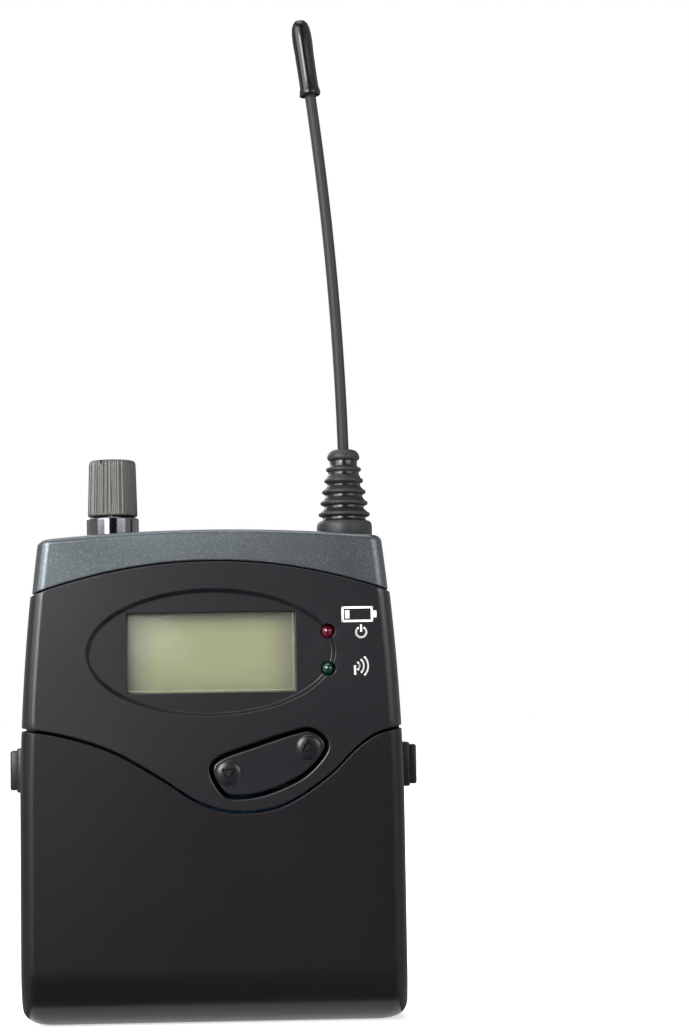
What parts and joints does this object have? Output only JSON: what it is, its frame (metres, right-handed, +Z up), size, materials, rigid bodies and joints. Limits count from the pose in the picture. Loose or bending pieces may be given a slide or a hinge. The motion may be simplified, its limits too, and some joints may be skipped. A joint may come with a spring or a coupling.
{
  "type": "wireless monitor receiver",
  "caption": "Belt-pack wireless monitor receiver with display window, rocker key, knurled volume knob, whip antenna, side catches, hinged battery cover and wire belt clip.",
  "frame": {"origin": "centre of the flat bottom face that the unit stands on, at the middle of the casing's depth and width", "axes": "+Z up towards the antenna, display faces -Y, +X to the right of the display, so the knob is at -X and the antenna at +X"},
  "size_m": [0.0682, 0.0309, 0.1702],
  "materials": {
    "cap_paint": "grey metallic flake paint, fine sparkle",
    "charcoal_plastic": "satin charcoal moulding with a soft sheen",
    "cover_plastic": "satin black moulding",
    "key_plastic": "satin black, slightly glossier on the buttons",
    "catch_plastic": "satin black",
    "knob_plating": "dark grey metallic plating, knurled",
    "ring_plating": "black chrome plating",
    "boot_rubber": "black rubber, soft highlights",
    "whip_rubber": "dark grey sleeve",
    "tip_plastic": "gloss black",
    "clear_window": "clear window, frosted at its side margins",
    "lcd_glass": "olive grey display, switched off",
    "backlight": "milky diffuser",
    "led_red": "tinted dome, not lit",
    "led_green": "tinted dome, not lit",
    "steel": "bright steel",
    "contact_steel": "tinned steel",
    "brass": "turned brass",
    "board": "green solder mask on fibreglass",
    "dark_plastic": "matt black moulding",
    "white_plastic": "natural plastic",
    "cell_sleeve": "blue metallic sleeve with a silver end",
    "clip_steel": "dark nickel-plated spring wire"
  },
  "bodies": {
    "case": {"antenna_boot": "boot_rubber", "antenna_insert": "brass", "antenna_socket": "brass", "antenna_tip": "tip_plastic", "antenna_whip": "whip_rubber", "back_shell": "charcoal_plastic", "battery_cell_lower": "cell_sleeve", "battery_cell_upper": "cell_sleeve", "battery_tray": "dark_plastic", "board_screw_left": "steel", "board_screw_right": "steel", "case_screw_lower_left": "steel", "case_screw_lower_right": "steel", "case_screw_upper_left": "steel", "case_screw_upper_right": "steel", "catch_spring_left": "steel", "catch_spring_right": "steel", "contact_button_lower": "contact_steel", "contact_button_upper": "contact_steel", "contact_spring_lower": "contact_steel", "contact_spring_upper": "contact_steel", "front_shell": "charcoal_plastic", "headphone_jack": "dark_plastic", "hinge_pin_left": "steel", "hinge_pin_right": "steel", "jack_collar": "ring_plating", "lcd_backlight": "backlight", "lcd_frame": "dark_plastic", "lcd_glass": "lcd_glass", "lcd_window": "clear_window", "led_green": "led_green", "led_red": "led_red", "main_board": "board", "pot_nut": "steel", "radio_shield": "contact_steel", "tact_switch_down": "dark_plastic", "tact_switch_up": "dark_plastic", "top_cap": "cap_paint", "tray_screw_left": "steel", "tray_screw_right": "steel", "volume_pot": "dark_plastic"},
    "cover": {"battery_cover": "cover_plastic"},
    "knob": {"volume_knob": "knob_plating", "knob_skirt": "ring_plating", "pot_shaft": "steel"},
    "rocker": {"rocker_key": "key_plastic"},
    "catch_left": {"release_catch_left": "catch_plastic"},
    "catch_right": {"release_catch_right": "catch_plastic"},
    "plunger_down": {"tact_plunger_down": "white_plastic"},
    "plunger_up": {"tact_plunger_up": "white_plastic"},
    "clip": {"belt_clip": "clip_steel"}
  },
  "joints": [
    {"name": "cover_open", "type": "hinge", "parent": "case", "child": "cover", "pos_m": [0, -0.007, 0.005], "axis": [1, 0, 0], "range_deg": [0, 88]},
    {"name": "volume_turn", "type": "hinge", "parent": "case", "child": "knob", "pos_m": [-0.0167, 0.0015, 0.0803], "axis": [0, 0, -1], "range_deg": [0, 290]},
    {"name": "rocker_tilt", "type": "hinge", "parent": "case", "child": "rocker", "pos_m": [0.0092, -0.009, 0.0419], "axis": [-0.2756, 0, 0.9613], "range_deg": [-3.5, 3.5], "stiffness_Nm_per_rad": 0.1},
    {"name": "catch_left_press", "type": "slide", "parent": "case", "child": "catch_left", "axis": [1, 0, 0], "range_m": [0, 0.001], "stiffness_N_per_m": 500, "springref_m": -0.0008, "deforming": ["catch_spring_left"]},
    {"name": "catch_right_press", "type": "slide", "parent": "case", "child": "catch_right", "axis": [-1, 0, 0], "range_m": [0, 0.001], "stiffness_N_per_m": 500, "springref_m": -0.0008, "deforming": ["catch_spring_right"]},
    {"name": "switch_down_press", "type": "slide", "parent": "case", "child": "plunger_down", "axis": [0, 1, 0], "range_m": [0, 0.00025], "stiffness_N_per_m": 1000, "springref_m": -0.0002},
    {"name": "switch_up_press", "type": "slide", "parent": "case", "child": "plunger_up", "axis": [0, 1, 0], "range_m": [0, 0.00025], "stiffness_N_per_m": 1000, "springref_m": -0.0002},
    {"name": "clip_open", "type": "hinge", "parent": "case", "child": "clip", "pos_m": [0, 0.0142, 0.063], "axis": [1, 0, 0], "range_deg": [0, 18], "stiffness_Nm_per_rad": 0.1, "springref_deg": -8.59}
  ]
}
